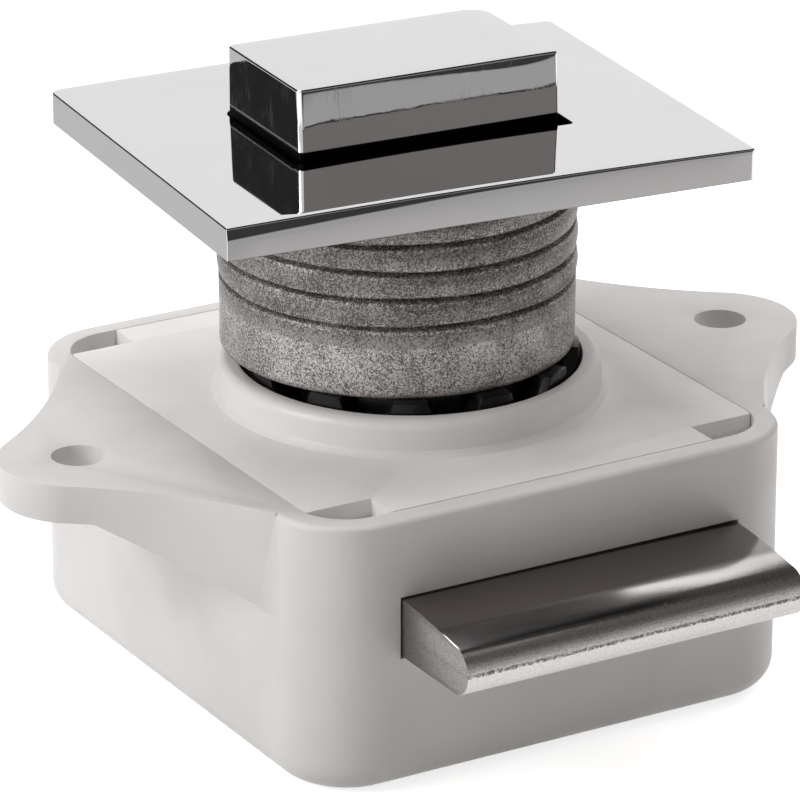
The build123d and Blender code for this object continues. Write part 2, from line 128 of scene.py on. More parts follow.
def grid_faces(rows, columns, wrap_rows, wrap_columns):
    """Each cell of the grid is one four-sided face, and point (row, column) has the number
    row * columns + column. A wrapped direction joins its last line to its first."""
    row = np.arange(rows if wrap_rows else rows - 1)[:, None]
    column = np.arange(columns if wrap_columns else columns - 1)[None, :]
    next_row = (row + 1) % rows
    next_column = (column + 1) % columns
    corners = np.stack([row * columns + column, row * columns + next_column,
                        next_row * columns + next_column, next_row * columns + column], axis=-1)
    return corners.reshape(-1, 4)


def mesh_object(name, points, wrap_rows=False, wrap_columns=True, close_ends=False):
    """A mesh object from points[row, column] in metres; open ends can be closed by one face each."""
    rows, columns, _ = points.shape
    faces = grid_faces(rows, columns, wrap_rows, wrap_columns).tolist()
    if close_ends:
        faces.append(list(range(columns)))
        faces.append(list(range((rows - 1) * columns, rows * columns))[::-1])
    mesh = bpy.data.meshes.new(name)
    mesh.from_pydata(points.reshape(-1, 3).tolist(), [], faces)
    mesh.validate()
    made = bpy.data.objects.new(name, mesh)
    bpy.context.scene.collection.objects.link(made)
    return made


def outward(made, sharp_angle):
    """Turns every face outwards and shades it smooth, except across edges sharper than the angle."""
    shell = bmesh.new()
    shell.from_mesh(made.data)
    bmesh.ops.remove_doubles(shell, verts=shell.verts, dist=SAME_POINT)
    bmesh.ops.recalc_face_normals(shell, faces=shell.faces)
    shell.to_mesh(made.data)
    shell.free()
    made.data.polygons.foreach_set("use_smooth", np.ones(len(made.data.polygons), bool))
    made.data.set_sharp_from_angle(angle=math.radians(sharp_angle))


# %% [markdown]
# ## Finishes from nodes
# A material is a small tree of nodes. To keep the recipes short, one class holds a tree and has a
# method for each ingredient: noise, a soft threshold, a mix of two colours, a bump. All patterns are
# read from Object coordinates, which here are the real metres of the latch, so a grain of 0.2 mm is
# a noise scale of 1 / 0.0002.

# %% Recipe helper
class Finish:
    """One material, built ingredient by ingredient round a Principled shader."""

    def __init__(self, name, color, metallic=0.0, roughness=0.4):
        self.material = bpy.data.materials.new(name)
        self.material.use_nodes = True
        self.tree = self.material.node_tree
        self.shader = self.tree.nodes["Principled BSDF"]
        self.shader.inputs["Base Color"].default_value = (*color, 1)
        self.shader.inputs["Metallic"].default_value = metallic
        self.shader.inputs["Roughness"].default_value = roughness
        self.place = self.add("ShaderNodeTexCoord").outputs["Object"]

    def add(self, kind, **settings):
        """A new node of one kind, with its settings."""
        made = self.tree.nodes.new(kind)
        for key, value in settings.items():
            setattr(made, key, value)
        return made

    def feed(self, socket, value):
        """Plugs in another node's output, or sets a plain value."""
        if isinstance(value, bpy.types.NodeSocket):
            self.tree.links.new(value, socket)
        else:
            socket.default_value = value

    def noise(self, size, detail=2.0, rough=0.5, stretch=(1, 1, 1)):
        """Noise whose lumps are about one size, in metres, and are drawn out along some axes."""
        mapping = self.add("ShaderNodeMapping")
        self.feed(mapping.inputs["Vector"], self.place)
        mapping.inputs["Scale"].default_value = [1 / s for s in stretch]
        made = self.add("ShaderNodeTexNoise")
        self.feed(made.inputs["Vector"], mapping.outputs["Vector"])
        made.inputs["Scale"].default_value = 1 / size
        made.inputs["Detail"].default_value = detail
        made.inputs["Roughness"].default_value = rough
        return made.outputs["Fac"]

    def ramp(self, value, start, stop, low=0.0, high=1.0, rise="SMOOTHSTEP"):
        """Goes from low to high as the value goes from start to stop, with soft ends unless LINEAR."""
        made = self.add("ShaderNodeMapRange", interpolation_type=rise)
        self.feed(made.inputs["Value"], value)
        for key, number in (("From Min", start), ("From Max", stop), ("To Min", low), ("To Max", high)):
            made.inputs[key].default_value = number
        return made.outputs["Result"]

    def band(self, value, start, stop, fade):
        """1 between start and stop, 0 outside them, with soft borders."""
        rise = self.ramp(value, start - fade, start + fade)
        fall = self.ramp(value, stop - fade, stop + fade, 1.0, 0.0)
        return self.math("MULTIPLY", rise, fall)

    def math(self, operation, first, second=0.0):
        """One sum, product or the like of two values."""
        made = self.add("ShaderNodeMath", operation=operation)
        self.feed(made.inputs[0], first)
        self.feed(made.inputs[1], second)
        return made.outputs["Value"]

    def axis(self, letter):
        """One of the three coordinates of the place, in metres."""
        made = self.add("ShaderNodeSeparateXYZ")
        self.feed(made.inputs["Vector"], self.place)
        return made.outputs[letter]

    def facing(self, letter):
        """How squarely the surface faces along X, Y or Z, either way: from 0 to 1."""
        made = self.add("ShaderNodeSeparateXYZ")
        self.feed(made.inputs["Vector"], self.add("ShaderNodeNewGeometry").outputs["Normal"])
        return self.math("ABSOLUTE", made.outputs[letter])

    def mix(self, share, first, second):
        """A colour between the first, at share 0, and the second, at share 1."""
        made = self.add("ShaderNodeMix", data_type="RGBA")
        self.feed(made.inputs[0], share)
        self.feed(made.inputs[6], first if isinstance(first, bpy.types.NodeSocket) else (*first, 1))
        self.feed(made.inputs[7], second if isinstance(second, bpy.types.NodeSocket) else (*second, 1))
        return made.outputs[2]

    def color(self, value):
        """Colour of the surface, plain or patterned."""
        self.feed(self.shader.inputs["Base Color"], value)

    def roughness(self, value):
        """How much the gloss is broken up, from mirror 0 to chalk 1."""
        self.feed(self.shader.inputs["Roughness"], value)

    def bump(self, height, depth, strength=1.0):
        """Dents the surface by the height times the depth, in metres; a second bump adds to the first."""
        made = self.add("ShaderNodeBump")
        made.inputs["Strength"].default_value = strength
        made.inputs["Distance"].default_value = depth
        self.feed(made.inputs["Height"], height)
        if self.shader.inputs["Normal"].is_linked:
            self.feed(made.inputs["Normal"], self.shader.inputs["Normal"].links[0].from_socket)
        self.feed(self.shader.inputs["Normal"], made.outputs["Normal"])

    def dress(self, piece):
        """Gives the finish to a piece, in place of what it had."""
        piece.data.materials.clear()
        piece.data.materials.append(self.material)


# %% [markdown]
# ## Softened edges on the CAD pieces
# A CAD solid arrives as loose triangles with knife-sharp edges. No real moulding has such edges, and
# it is the narrow highlight on an edge that makes plastic look like plastic. The mesh itself stays
# as it is, so the work is done by modifiers: join the loose points, clear the flat faces of their
# triangles, round the edges that are left, and shade by angle.

# %% Shading by angle
JOIN_DISTANCE = 1e-6
SMOOTH_UNDER_DEGREES = 32


def shading_group(name, limit_degrees):
    """Geometry nodes that join points and shade smooth, except across edges sharper than the limit."""
    group = bpy.data.node_groups.new(name, "GeometryNodeTree")
    group.interface.new_socket("Geometry", in_out="INPUT", socket_type="NodeSocketGeometry")
    group.interface.new_socket("Geometry", in_out="OUTPUT", socket_type="NodeSocketGeometry")
    source = group.nodes.new("NodeGroupInput")
    result = group.nodes.new("NodeGroupOutput")
    merge = group.nodes.new("GeometryNodeMergeByDistance")
    merge.inputs["Distance"].default_value = JOIN_DISTANCE
    angle = group.nodes.new("GeometryNodeInputMeshEdgeAngle")
    compare = group.nodes.new("FunctionNodeCompare")
    compare.data_type = "FLOAT"
    compare.operation = "LESS_THAN"
    compare.inputs[1].default_value = math.radians(limit_degrees)
    faces = group.nodes.new("GeometryNodeSetShadeSmooth")
    edges = group.nodes.new("GeometryNodeSetShadeSmooth")
    edges.domain = "EDGE"
    group.links.new(source.outputs[0], merge.inputs["Geometry"])
    group.links.new(merge.outputs["Geometry"], faces.inputs["Geometry"])
    group.links.new(faces.outputs["Geometry"], edges.inputs["Geometry"])
    group.links.new(angle.outputs["Unsigned Angle"], compare.inputs[0])
    group.links.new(compare.outputs["Result"], edges.inputs["Shade Smooth"])
    group.links.new(edges.outputs["Geometry"], result.inputs[0])
    return group


SHADE_BY_ANGLE = shading_group("shade_by_angle", SMOOTH_UNDER_DEGREES)
print("shading:", SHADE_BY_ANGLE.name)

# %% [markdown]
# Each CAD piece has its own edge radius: mouldings a little over a tenth of a millimetre, the small
# castings alike. Wire and sheet have no edges worth rounding and are only shaded. The rosette, the
# knob and the springs aren't in the list, because this lesson makes them anew.

# %% Rounded edges
EDGE_RADII = {"case": 0.18 * MM, "cover": 0.10 * MM, "guide_ring": 0.12 * MM, "latch_bolt": 0.14 * MM,
              "plunger": 0.15 * MM, "stem_clip": 0, "cam_wire": 0, "cam_leaf": 0}
EDGE_SEGMENTS = 2
EDGE_OVER_DEGREES = 40
FLAT_WITHIN_DEGREES = 0.4


def soften(node_name, radius):
    """Joins, cleans and rounds one CAD node by modifiers; radius 0 only shades it."""
    node = nodes[node_name]
    join = node.modifiers.new("join", "WELD")
    join.merge_threshold = JOIN_DISTANCE
    if radius:
        clean = node.modifiers.new("clean", "DECIMATE")
        clean.decimate_type = "DISSOLVE"
        clean.angle_limit = math.radians(FLAT_WITHIN_DEGREES)
        rounding = node.modifiers.new("rounding", "BEVEL")
        rounding.width = radius
        rounding.segments = EDGE_SEGMENTS
        rounding.limit_method = "ANGLE"
        rounding.angle_limit = math.radians(EDGE_OVER_DEGREES)
        rounding.use_clamp_overlap = True
        rounding.miter_outer = "MITER_ARC"
    shade = node.modifiers.new("shade", "NODES")
    shade.node_group = SHADE_BY_ANGLE


for softened_name, edge_radius in EDGE_RADII.items():
    soften(softened_name, edge_radius)
print("edges softened on", len(EDGE_RADII), "pieces")

# %% [markdown]
# ## White moulded plastic
# The case and its cover are moulded in white plastic with a satin skin. Up close such a skin isn't
# even: it has a fine spark-eroded grain, faint flow marks, and a gloss that drifts over a few
# millimetres. The colour stays a little under white, so that light can still model the form. The
# cover is lighter than the case, so one recipe serves both, with a grain and a lightness for each.

# %% Case and cover
WHITE = (0.745, 0.735, 0.73)
WHITE_SHADE = (0.70, 0.69, 0.683)
COVER_LIGHTNESS = 1.13
CASE_GRAIN = 0.006 * MM
COVER_GRAIN = 0.004 * MM


def white_plastic(name, grain_depth, lightness=1.0):
    """Satin white that lets a little light in. Colour, gloss and level drift, and a fine grain dents it."""
    finish = Finish(name, WHITE, roughness=0.42)
    drift = finish.noise(9 * MM, 3)
    pale = [part * lightness for part in WHITE]
    shade = [part * lightness for part in WHITE_SHADE]
    finish.color(finish.mix(finish.ramp(drift, 0.35, 0.75), pale, shade))
    finish.roughness(finish.ramp(finish.noise(4 * MM, 3), 0.3, 0.7, 0.34, 0.48))
    finish.shader.inputs["Specular IOR Level"].default_value = 0.45
    finish.shader.inputs["Subsurface Weight"].default_value = 0.12
    finish.shader.inputs["Subsurface Radius"].default_value = (1.0, 0.9, 0.8)
    finish.shader.inputs["Subsurface Scale"].default_value = 0.8 * MM
    finish.bump(finish.noise(0.12 * MM, 2), grain_depth, 0.5)
    finish.bump(finish.noise(6 * MM, 2), 0.02 * MM, 0.4)
    return finish


white_plastic("white_case", CASE_GRAIN).dress(nodes["case"])
white_plastic("white_cover", COVER_GRAIN, COVER_LIGHTNESS).dress(nodes["cover"])
print("white plastic on case and cover")

# %% [markdown]
# ## Black moulded plastic
# The guide ring under the sleeve and the plunger below the knob are glossy black mouldings. Black
# plastic is mostly reflection, so what matters is a gloss that isn't perfect. The ring sits in a
# deep gap, and its reflections are kept weak, so that the gap stays dark between its lighter panels.

# %% Guide ring and plunger
BLACK = (0.0045, 0.0036, 0.0034)
BLACK_WORN = (0.010, 0.008, 0.0075)
BLACK_GRAIN = 0.004 * MM


def black_plastic(name):
    """Deep black with paler patches, under a gloss that drifts over two millimetres."""
    finish = Finish(name, BLACK, roughness=0.25)
    finish.color(finish.mix(finish.ramp(finish.noise(3 * MM, 2), 0.4, 0.7), BLACK, BLACK_WORN))
    finish.shader.inputs["Specular IOR Level"].default_value = 0.2
    finish.roughness(finish.ramp(finish.noise(2 * MM, 3), 0.3, 0.7, 0.18, 0.34))
    finish.bump(finish.noise(0.15 * MM, 2), BLACK_GRAIN, 0.5)
    return finish


black_plastic("black_ring").dress(nodes["guide_ring"])
black_plastic("black_plunger").dress(nodes["plunger"])
print("black plastic on guide ring and plunger")

# %% [markdown]
# ## Polished chrome
# Four metals need telling apart: polished chrome, a casting left rough, nickel over a casting, and
# drawn wire. Chrome is a mirror, so its recipe is mostly what keeps it from being a perfect one: a
# trace of wave and a drifting gloss. Below a given height it takes a dark, rougher colour instead, which
# is painted shade: under the plate, and at the foot of the knob, where the gap round it is dark. The
# knob's sides also carry patches of fine upright scoring, left by the polishing, and a thin grey line
# at their foot, which is a painted highlight of the hole's edge.

# %% Polished chrome
CHROME = (0.70, 0.70, 0.70)
CHROME_COOL = (0.68, 0.68, 0.685)
# Painted shade: the dark colours under the plate and at the foot of the knob.
PLATE_UNDERSIDE_SHADE = (0.16, 0.15, 0.145)
KNOB_FOOT_SHADE = (0.004, 0.003, 0.003)
UNDERSIDE_Z = 18.9 * MM
KNOB_SHADE_TOP_Z = 22.25 * MM
BORDER_FADE = 0.04 * MM
# A painted highlight: a thin grey line at the knob's foot, just above its painted shade.
FOOT_HIGHLIGHT_LINE = (0.06 * MM, 0.22 * MM)
KNOB_SCORING = 0.008 * MM


def polished_chrome(name, bright_above, below, scoring=0.0):
    """Mirror plating with a trace of wave. Under a given height it has another colour, painted shade.
    Scoring is the depth of upright scratches on the sides, where the metal is worn, and brings a painted
    highlight line at their foot."""
    finish = Finish(name, CHROME, metallic=1, roughness=0.03)
    gloss = finish.ramp(finish.noise(5 * MM, 3), 0.3, 0.8, 0.02, 0.05)
    plating = finish.mix(finish.ramp(finish.noise(12 * MM, 2), 0.4, 0.8), CHROME, CHROME_COOL)
    # Under the height the colour is painted shade: the plate's shaded underside, or the dark gap round the
    # knob.
    shell = finish.ramp(finish.axis("Z"), bright_above - BORDER_FADE, bright_above + BORDER_FADE)
    plating = finish.mix(shell, below, plating)
    gloss = finish.math("MAXIMUM", gloss, finish.ramp(shell, 0, 1, 0.5, 0.0))
    finish.color(plating)
    finish.roughness(gloss)
    finish.bump(finish.noise(8 * MM, 1), 0.02 * MM, 0.12)
    if scoring:
        score = finish.noise(0.16 * MM, 3, 0.6, (1, 1, 14))
        patch = finish.ramp(finish.noise(2.2 * MM, 2), 0.40, 0.65)
        patch = finish.math("MULTIPLY", patch, finish.ramp(finish.facing("Z"), 0.2, 0.5, 1.0, 0.0))
        worn = finish.math("MULTIPLY", finish.ramp(score, 0.5, 0.75), patch)
        # The foot band is a painted highlight of the hole's edge, as a thin grey line on the sides.
        foot_start, foot_stop = (bright_above + rise for rise in FOOT_HIGHLIGHT_LINE)
        foot = finish.band(finish.axis("Z"), foot_start, foot_stop, BORDER_FADE)
        foot = finish.math("MULTIPLY", foot, finish.ramp(finish.facing("X"), 0.6, 0.8))
        finish.roughness(finish.math("ADD", gloss, finish.math("MULTIPLY", worn, 0.16)))
        wear_and_highlight = finish.math("ADD", finish.math("MULTIPLY", worn, 0.10), finish.math("MULTIPLY", foot, 0.22))
        finish.feed(finish.shader.inputs["Metallic"], finish.math("SUBTRACT", 1.0, wear_and_highlight))
        finish.bump(finish.math("MULTIPLY", score, patch), scoring, 0.5)
    return finish


# Below their heights, the plate's underside and the knob's foot take painted shade.
plate_chrome = polished_chrome("plate_chrome", UNDERSIDE_Z, PLATE_UNDERSIDE_SHADE)
knob_chrome = polished_chrome("knob_chrome", KNOB_SHADE_TOP_Z, KNOB_FOOT_SHADE, KNOB_SCORING)
print("chrome:", plate_chrome.material.name, knob_chrome.material.name)

# %% [markdown]
# ## Rough casting
# The sleeve is the same casting as the plate, left as it came out of the mould: pale metal full of
# dark pits a tenth of a millimetre across. Two noises of different size are added and cut off at a
# level, which gives pits of uneven size. At the foot and in a band under each groove the skin is
# darker and smoother, and from just under the first groove upwards the pits lie denser.

# %% Rough casting
CAST = (0.70, 0.675, 0.66)
CAST_DEEP = (0.08, 0.07, 0.066)
GROOVE_PITCH = 2.2 * MM
GROOVES = 5
FOOT_BAND = (3.6 * MM, 3.9 * MM)
FIRST_BAND = (7.6 * MM, 8.8 * MM)
BAND_RISE = 0.15 * MM
BAND_FADE = 0.12 * MM
DENSE_FROM_Z = 7.9 * MM
DENSE_FULL_Z = 8.9 * MM


def rough_casting(name, smooth_bands):
    """Pale skin full of dark pits. In bands of height, from start to stop, it is darker and smoother."""
    finish = Finish(name, CAST, metallic=0.5, roughness=0.42)
    fine = finish.noise(0.09 * MM, 3, 0.65)
    coarse = finish.noise(0.22 * MM, 3, 0.6)
    broad = finish.noise(2.5 * MM, 3)
    pits = finish.math("ADD", finish.math("MULTIPLY", fine, 0.7), finish.math("MULTIPLY", coarse, 0.3))
    height = finish.math("ADD", finish.axis("Z"), finish.math("MULTIPLY", broad, 0.3 * MM))
    smooth = 0.0
    for start, stop in smooth_bands:
        band = finish.band(height, start + BAND_RISE, stop + BAND_RISE, BAND_FADE)
        smooth = finish.math("ADD", smooth, band)
    dense = finish.ramp(height, DENSE_FROM_Z, DENSE_FULL_Z, 0.0, 0.045)
    edge = finish.math("ADD", finish.math("ADD", pits, dense), finish.math("MULTIPLY", broad, 0.12))
    mask = finish.ramp(edge, 0.48, 0.64)
    mask = finish.math("MAXIMUM", mask, finish.math("MULTIPLY", smooth, 0.55))
    finish.color(finish.mix(mask, CAST, CAST_DEEP))
    finish.roughness(finish.ramp(pits, 0.35, 0.65, 0.36, 0.52))
    finish.bump(finish.math("MULTIPLY", mask, -1.0), 0.012 * MM, 0.6)
    finish.bump(pits, 0.016 * MM, 0.6)
    return finish


SMOOTH_BANDS = [FOOT_BAND]
for count in range(GROOVES):
    SMOOTH_BANDS.append(tuple(level + count * GROOVE_PITCH for level in FIRST_BAND))
casting = rough_casting("rough_casting", SMOOTH_BANDS)
print("casting with", len(SMOOTH_BANDS), "smoother bands")

# %% [markdown]
# ## Nickel over a casting
# The bolt was tumbled before it was plated. That left its top smooth, while the nose and the ends
# kept the grain of the casting. The top's colour is darkened, painted shade for the shaded case wall
# that it mirrors, and it rises to the nickel's own colour towards the upper edge. Where the two halves
# of the mould met, a torn seam runs along the nose, and the belly under it is smoother again. Heights
# on the bolt tell these zones apart, with noise added so that no border is straight.

# %% Nickel bolt
NICKEL = (0.43, 0.41, 0.40)
# Painted shade: the darkened colour on the bolt's top.
NICKEL_TOP_SHADE = (0.25, 0.23, 0.22)
NICKEL_EDGE = (0.62, 0.60, 0.585)
NICKEL_END = (0.28, 0.268, 0.26)
NICKEL_SPECK = (0.12, 0.11, 0.105)
NICKEL_SEAM = (0.05, 0.045, 0.043)
DOME_RATE = 40.0
EDGE_FROM_Y = -28.4 * MM
EDGE_FULL_Y = -29.3 * MM
SKIN_TOP_Z = -7.38 * MM
SKIN_SLOPE = 0.014
SEAM_Z = -8.95 * MM
SEAM_HALF = 0.13 * MM
WANDER = 0.40 * MM


def nickel_bolt(name):
    """Nickel over a casting: smooth on top, where its darkened colour is painted shade, grained on the nose
    and the ends, with a torn seam where the two halves of the mould met and a smoother belly under it. A
    broad bump lets the top fall away towards the nose, by the dome rate times the square of the distance,
    as a tumbled edge does."""
    finish = Finish(name, NICKEL, metallic=1, roughness=0.25)
    grain = finish.noise(0.11 * MM, 4, 0.7)
    wander = finish.math("MULTIPLY", finish.noise(0.45 * MM, 4, 0.75), WANDER)
    height = finish.math("ADD", finish.axis("Z"), finish.math("SUBTRACT", wander, WANDER / 2))
    end_face = finish.ramp(finish.facing("X"), 0.6, 0.8)
    level = finish.math("SUBTRACT", height, finish.math("MULTIPLY", finish.axis("X"), SKIN_SLOPE))
    nose = finish.ramp(level, SKIN_TOP_Z - 0.10 * MM, SKIN_TOP_Z + 0.05 * MM, 1.0, 0.0)
    belly = finish.ramp(height, SEAM_Z - 0.12 * MM, SEAM_Z + 0.05 * MM, 0.45, 1.0)
    skin = finish.math("MAXIMUM", finish.math("MULTIPLY", nose, belly), end_face)
    seam = finish.math("MULTIPLY", finish.band(height, SEAM_Z - SEAM_HALF, SEAM_Z + SEAM_HALF, 0.07 * MM),
                       finish.ramp(finish.noise(0.25 * MM, 3, 0.7), 0.35, 0.6))
    seam = finish.math("MULTIPLY", seam, finish.ramp(end_face, 0, 1, 1.0, 0.3))
    speck = finish.math("MULTIPLY", finish.ramp(grain, 0.50, 0.62), skin)
    speck = finish.math("MULTIPLY", speck, finish.ramp(end_face, 0, 1, 0.65, 0.75))
    # On top the colour is painted shade. Towards the upper edge it goes to the nickel's own colour.
    upper_edge = finish.ramp(finish.axis("Y"), EDGE_FULL_Y, EDGE_FROM_Y, 1.0, 0.0)
    smooth = finish.mix(upper_edge, NICKEL_TOP_SHADE, NICKEL_EDGE)
    color = finish.mix(skin, smooth, finish.mix(end_face, NICKEL, NICKEL_END))
    color = finish.mix(speck, color, NICKEL_SPECK)
    color = finish.mix(finish.math("MULTIPLY", seam, 0.85), color, NICKEL_SEAM)
    finish.color(color)
    finish.roughness(finish.ramp(skin, 0, 1, 0.15, 0.36))
    forward = finish.math("MAXIMUM", finish.math("SUBTRACT", EDGE_FROM_Y, finish.axis("Y")), 0.0)
    fall = finish.math("MULTIPLY", finish.math("MULTIPLY", forward, forward), -DOME_RATE)
    finish.bump(finish.math("MULTIPLY", fall, finish.math("SUBTRACT", 1.0, end_face)), 1.0)
    grained = finish.math("MAXIMUM", skin, finish.math("MULTIPLY", upper_edge, 0.4))
    finish.bump(finish.math("MULTIPLY", grain, grained), 0.014 * MM, 0.5)
    finish.bump(finish.math("MULTIPLY", seam, -1.0), 0.03 * MM, 0.7)
    return finish


nickel_bolt("nickel_bolt").dress(nodes["latch_bolt"])
print("nickel on the bolt")

# %% [markdown]
# ## Drawn wire and turned steel
# Wire is pulled through a die, sheet is rolled and a stem is turned, and all three keep fine scoring
# from it. One recipe does for them, with a colour and a gloss for each.

# %% Wire, leaf and stem steel
STEEL = (0.50, 0.50, 0.51)
STEEL_SCORED = (0.36, 0.36, 0.37)
FOLLOWER_STEEL = (0.56, 0.56, 0.57)
LEAF_STEEL = (0.52, 0.52, 0.52)


def drawn_wire(name, color, roughness=0.3):
    """Bright steel with fine scoring, which darkens and roughens it."""
    finish = Finish(name, color, metallic=1, roughness=roughness)
    score = finish.noise(0.05 * MM, 2)
    finish.color(finish.mix(finish.ramp(score, 0.4, 0.7), color, STEEL_SCORED))
    finish.roughness(finish.ramp(score, 0.3, 0.7, roughness - 0.06, roughness + 0.1))
    finish.bump(score, 0.003 * MM, 0.4)
    return finish


drawn_wire("clip_wire", STEEL).dress(nodes["stem_clip"])
drawn_wire("follower_wire", FOLLOWER_STEEL, 0.22).dress(nodes["cam_wire"])
drawn_wire("leaf_strip", LEAF_STEEL, 0.26).dress(nodes["cam_leaf"])
print("steel on clip, follower wire and leaf")

# %% [markdown]
# ## The rosette
# Plate and sleeve are one casting. The plate is a rounded rectangle with a rectangular hole, and its
# face is domed by a quarter of a millimetre, which a mirror finish makes plain to see. Outline by
# outline, the surface goes up the wall of the hole, over the face, down the outer edge and back
# underneath. All outlines have the same number of points, so any two can be blended point by point.

# %% Rounded outlines
AXIS_Y = 1.9 * MM
CORNER_POINTS = 10
SIDE_POINTS = 16


def turned(flat, turn):
    """Points (x, y) turned about the knob's axis: (x cos t - y sin t, x sin t + y cos t)."""
    c, s = math.cos(turn), math.sin(turn)
    return flat @ np.array([[c, s], [-s, c]])


def outline(half_x, half_y, radii, turn, centre=(0.0, 0.0)):
    """Closed outline of a rectangle with a quarter circle at each corner, joined by even steps.
    The corners are, in turn, rear right, rear left, front left and front right."""
    corners = [(1, 1), (-1, 1), (-1, -1), (1, -1)]
    runs = []
    arcs = []
    for (sign_x, sign_y), radius, start in zip(corners, radii, (0, 90, 180, 270)):
        angle = np.radians(start + np.linspace(0, 90, CORNER_POINTS))
        arcs.append(np.stack([sign_x * (half_x - radius) + radius * np.cos(angle),
                              sign_y * (half_y - radius) + radius * np.sin(angle)], axis=1))
    for arc, following in zip(arcs, arcs[1:] + arcs[:1]):
        share = np.linspace(0, 1, SIDE_POINTS + 2)[1:-1, None]
        runs.append(arc)
        runs.append(arc[-1] * (1 - share) + following[0] * share)
    return turned(np.concatenate(runs) + np.array(centre), turn)


def quarter_round(radius, steps=5):
    """Offsets inwards, r (1 - sin a), and drops down, r (1 - cos a), from the face to the side."""
    angle = np.linspace(0, math.pi / 2, steps)
    return radius * (1 - np.sin(angle)), radius * (1 - np.cos(angle))


def rings_to_points(rings):
    """Stacks (outline, height) pairs into points[row, column], about the knob's axis."""
    points = np.zeros((len(rings), len(rings[0][0]), 3))
    for row, (flat, height) in enumerate(rings):
        points[row, :, :2] = flat
        points[row, :, 2] = height
    points[:, :, 1] += AXIS_Y
    return points


# %% [markdown]
# A polisher holds the plate against a wheel, which leans the top of its front edge back, most of all
# at the left end. That lean makes the dark line under the front edge, so it is worth its own function:
# it draws the front side of an outline back, by an amount that depends on the depth under the rim and
# on the place along the side. The knob's front gets the same treatment later.

# %% Buffed edges
BUFF_SOFTNESS = 0.12 * MM
BUFF_START = 0.02 * MM
FRONT_STRIP = 0.6 * MM
FRONT_FADE = 0.5 * MM


def buffed(flat, depth, turn, front_y, reach, lean):
    """Draws the front side back by tan(lean) for each unit that the depth is less than the reach. The
    reach is a function of the place along the side, and its end is eased in by a square root."""
    own = turned(flat, -turn)
    over = reach(own[:, 0]) - depth
    over = 0.5 * (over + np.sqrt(over ** 2 + BUFF_SOFTNESS ** 2)) - BUFF_START
    near_front = np.clip((front_y + FRONT_STRIP - own[:, 1]) / FRONT_FADE, 0, 1)
    own[:, 1] += np.clip(over, 0, None) * math.tan(lean) * near_front
    return turned(own, turn)


# %% Outlines of the plate
ROSETTE_TURN = math.radians(-5.6)
PLATE_HALF_X = 21.8 * MM
PLATE_HALF_Y = 17.75 * MM
PLATE_CORNERS = (0.6 * MM, 1.0 * MM, 0.05 * MM, 0.4 * MM)
SHARPEST = 0.01 * MM
PLATE_RIM_Z = 21.33 * MM
PLATE_EDGE = 2.47 * MM
PLATE_CROWN = 0.25 * MM
PLATE_LEAN = math.radians(9)
HOLE_HALF_X = 11.7 * MM
HOLE_HALF_Y = 7.1 * MM
HOLE_CORNERS = (0.12 * MM, 1.5 * MM, 0.12 * MM, 0.45 * MM)
plate_foot_z = PLATE_RIM_Z - PLATE_EDGE


def plate_outline(inset):
    """The plate's plan, drawn in on all sides, with corners that get tighter by the same amount."""
    radii = [max(corner - inset, SHARPEST) for corner in PLATE_CORNERS]
    return outline(PLATE_HALF_X - inset, PLATE_HALF_Y - inset, radii, ROSETTE_TURN)


def hole_outline(outset):
    """The hole's plan, widened on all sides, with corners that get softer by the same amount."""
    radii = [corner + outset for corner in HOLE_CORNERS]
    return outline(HOLE_HALF_X + outset, HOLE_HALF_Y + outset, radii, ROSETTE_TURN)


def dome(flat):
    """Height of the face: the crown's height less a parabola across the plate's width."""
    across = flat[:, 0] * math.cos(ROSETTE_TURN) + flat[:, 1] * math.sin(ROSETTE_TURN)
    return PLATE_RIM_Z + PLATE_CROWN * (1 - (across / PLATE_HALF_X) ** 2)


def plate_buffing(x):
    """Reach of the buffed band: almost 1 mm at the front edge's left end, next to nothing at its right."""
    return (0.08 + 0.86 * np.clip((14 * MM - x) / (36 * MM), 0, 1) ** 1.3) * MM


def plate_side(inset, lower):
    """The plate's outline at a depth under its face, with its buffed front."""
    return buffed(plate_outline(inset), lower, ROSETTE_TURN, -PLATE_HALF_Y, plate_buffing, PLATE_LEAN)


def under_dome(flat, lower):
    """An outline and its heights, a given depth under the domed face."""
    return flat, dome(flat) - lower


# %% Rosette plate
PLATE_ROUNDING = 0.13 * MM
PLATE_FOOT_ROUNDING = 0.02 * MM
HOLE_ROUNDING = 0.05 * MM
FACE_RINGS = 12
SIDE_RINGS = 12

hole_inset, hole_drop = quarter_round(HOLE_ROUNDING)
rings = [(hole_outline(0), plate_foot_z)]
for outset, lower in zip(hole_inset[::-1], hole_drop[::-1]):
    rings.append(under_dome(hole_outline(outset), lower))
inner_face = hole_outline(HOLE_ROUNDING)
outer_face = plate_side(PLATE_ROUNDING, 0.0)
for share in np.linspace(0, 1, FACE_RINGS + 2)[1:-1]:
    rings.append(under_dome(inner_face * (1 - share) + outer_face * share, 0))
inset, drop = quarter_round(PLATE_ROUNDING)
for step, lower in zip(inset, drop):
    rings.append(under_dome(plate_side(step, lower), lower))
side_end = PLATE_EDGE - PLATE_FOOT_ROUNDING
side_levels = np.linspace(drop[-1], side_end, SIDE_RINGS + 2)[1:-1]
for lower in np.append(side_levels, side_end - SHARPEST):
    share = lower / PLATE_EDGE
    rings.append((plate_side(0, lower), dome(plate_outline(0)) * (1 - share) + plate_foot_z * share))
inset, drop = quarter_round(PLATE_FOOT_ROUNDING)
for step, lower in zip(inset[::-1], drop[::-1]):
    rings.append((plate_outline(step), plate_foot_z + lower))
rosette_plate = mesh_object("rosette_plate", rings_to_points(rings), wrap_rows=True)
outward(rosette_plate, 50)
plate_chrome.dress(rosette_plate)
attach(rosette_plate, "case")
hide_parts("rosette")
print("rosette plate:", len(rosette_plate.data.polygons), "faces")

